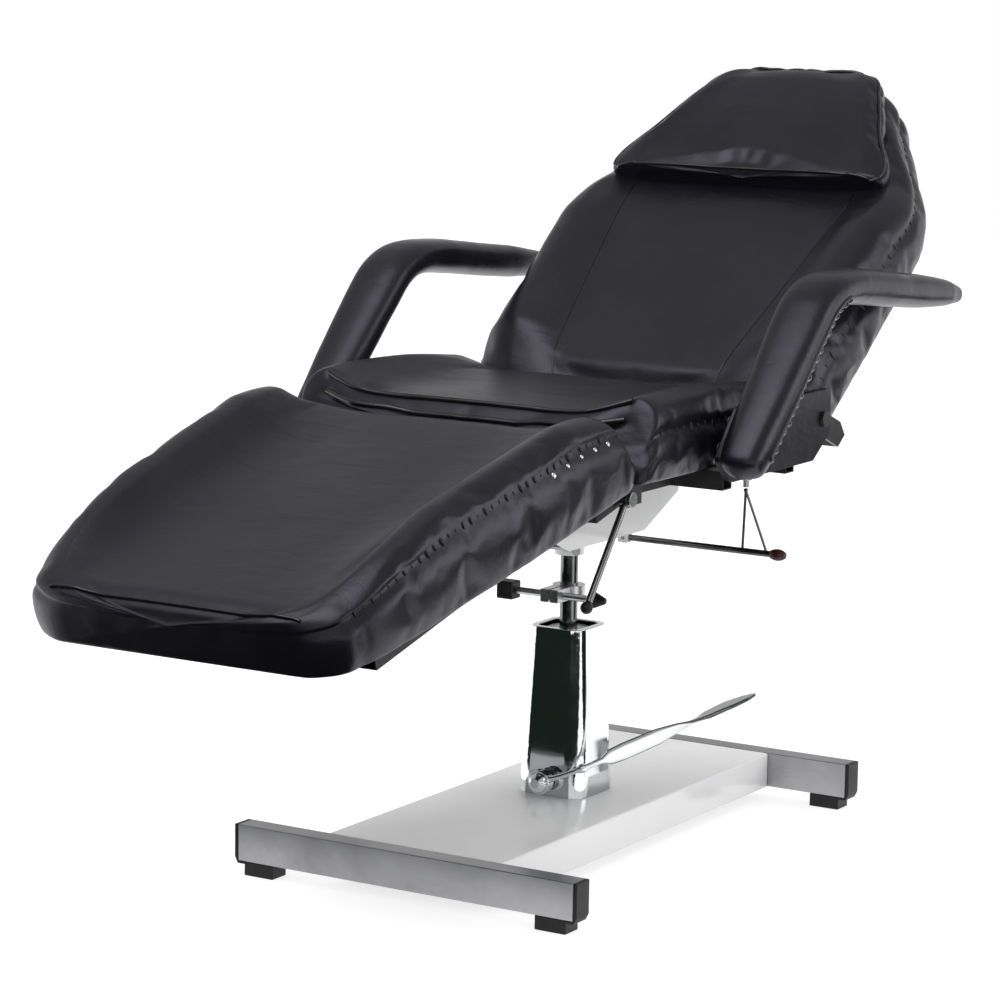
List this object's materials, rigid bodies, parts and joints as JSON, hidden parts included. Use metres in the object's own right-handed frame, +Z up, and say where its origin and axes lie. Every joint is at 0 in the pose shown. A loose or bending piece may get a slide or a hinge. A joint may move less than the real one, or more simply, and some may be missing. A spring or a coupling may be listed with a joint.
{
  "type": "tattoo chair",
  "caption": "Padded client chair on a foot-pumped hydraulic lift: reclining back with head pillow, tilting leg rest, padded arms, swivelling on an H shaped base.",
  "frame": {"origin": "on the floor, under the axis of the pump's rod", "axes": "+Z up along the pump's rod; +Y towards the head end of the bed; +X to the sitter's left hand side"},
  "size_m": [0.748, 1.6751, 1.0497],
  "materials": {
    "white_enamel": "gloss",
    "black_enamel": "satin",
    "brushed_steel_bars": "brushed lengthwise",
    "chrome": "mirror polish",
    "machined_steel": "machined and zinc plated",
    "cast_pump": "painted casting",
    "black_vinyl": "black upholstery vinyl, satin",
    "covered_board": "plywood, stained dark",
    "black_plastic": "moulded, fine grain",
    "red_plastic": "moulded, dark red",
    "rubber_seal": "nitrile, smooth"
  },
  "bodies": {
    "base": {"base_plate": "white_enamel", "front_crossbar": "brushed_steel_bars", "rear_crossbar": "brushed_steel_bars", "bar_end_feet": "black_plastic", "pump_flange": "machined_steel", "pump_bolts": "machined_steel", "pump_cylinder": "cast_pump", "pump_gland": "machined_steel", "pump_cover": "chrome", "pedal_axle": "chrome", "pedal_sleeve": "machined_steel"},
    "pedal": {"pedal_lever": "chrome"},
    "ram": {"ram_piston": "machined_steel", "piston_seal": "rubber_seal"},
    "bed": {"piston_rod": "chrome", "stop_collar": "machined_steel", "head_socket": "white_enamel", "saddle_bracket": "white_enamel", "saddle_web": "white_enamel", "seat_frame": "black_enamel", "seat_board": "covered_board", "seat_cushion": "black_vinyl", "left_side_board": "black_vinyl", "right_side_board": "black_vinyl", "left_arm_board": "covered_board", "right_arm_board": "covered_board", "left_arm_pad": "black_vinyl", "right_arm_pad": "black_vinyl", "arm_bolts": "machined_steel", "back_hinge_pins": "black_enamel", "back_friction_washers": "machined_steel", "leg_hinge_pins": "machined_steel", "release_pin": "machined_steel", "plunger_bush": "machined_steel"},
    "collar_bar": {"collar_clamp_bar": "machined_steel", "clamp_block_grip": "black_plastic", "clamp_cone_grip": "black_plastic"},
    "socket_lock": {"socket_lock_knob": "machined_steel"},
    "back": {"back_frame": "black_enamel", "back_board": "covered_board", "back_cushion": "black_vinyl", "head_pillow": "black_vinyl"},
    "leg_rest": {"leg_frame": "black_enamel", "leg_board": "covered_board", "leg_cushion": "black_vinyl"},
    "leg_lever": {"leg_clamp_lever": "chrome", "leg_lever_ball": "black_plastic"},
    "release": {"release_bar": "machined_steel", "release_knob": "red_plastic", "release_stirrup": "machined_steel"},
    "plunger": {"release_plunger": "machined_steel"}
  },
  "joints": [
    {"name": "pedal_press", "type": "hinge", "parent": "base", "child": "pedal", "pos_m": [0, -0.068, 0.093], "axis": [0, 1, 0], "range_deg": [0, 24], "stiffness_Nm_per_rad": 6, "springref_deg": -22.92},
    {"name": "lift", "type": "slide", "parent": "base", "child": "ram", "axis": [0, 0, 1], "range_m": [-0.035, 0.115]},
    {"name": "swivel", "type": "hinge", "parent": "ram", "child": "bed", "pos_m": [0, 0, 0.166], "axis": [0, 0, 1], "continuous": true},
    {"name": "collar_clamp", "type": "hinge", "parent": "bed", "child": "collar_bar", "pos_m": [0, -0.042, 0.352], "axis": [1, 0, 0], "range_deg": [-90, 90]},
    {"name": "socket_lock_turn", "type": "hinge", "parent": "bed", "child": "socket_lock", "pos_m": [0.015, -0.015, 0.413], "axis": [0.7071, -0.7071, 0], "range_deg": [-180, 180]},
    {"name": "back_recline", "type": "hinge", "parent": "bed", "child": "back", "pos_m": [0, 0.165, 0.6], "axis": [1, 0, 0], "range_deg": [-36, 40]},
    {"name": "leg_tilt", "type": "hinge", "parent": "bed", "child": "leg_rest", "pos_m": [0, -0.3, 0.545], "axis": [-1, 0, 0], "range_deg": [-30.6, 14.4]},
    {"name": "leg_clamp_turn", "type": "hinge", "parent": "bed", "child": "leg_lever", "pos_m": [0.258, -0.3, 0.545], "axis": [1, 0, 0], "range_deg": [0, 40]},
    {"name": "release_lift", "type": "hinge", "parent": "bed", "child": "release", "pos_m": [0.036, 0.09, 0.418], "axis": [0, -1, 0], "range_deg": [0, 3], "stiffness_Nm_per_rad": 4, "springref_deg": -5.73},
    {"name": "plunger_slide", "type": "slide", "parent": "bed", "child": "plunger", "axis": [0, 0, 1], "range_m": [0, 0.01]}
  ],
  "couplings": [
    {"joint": "plunger_slide", "follows": "release_lift", "m_per_rad": 0.189}
  ]
}
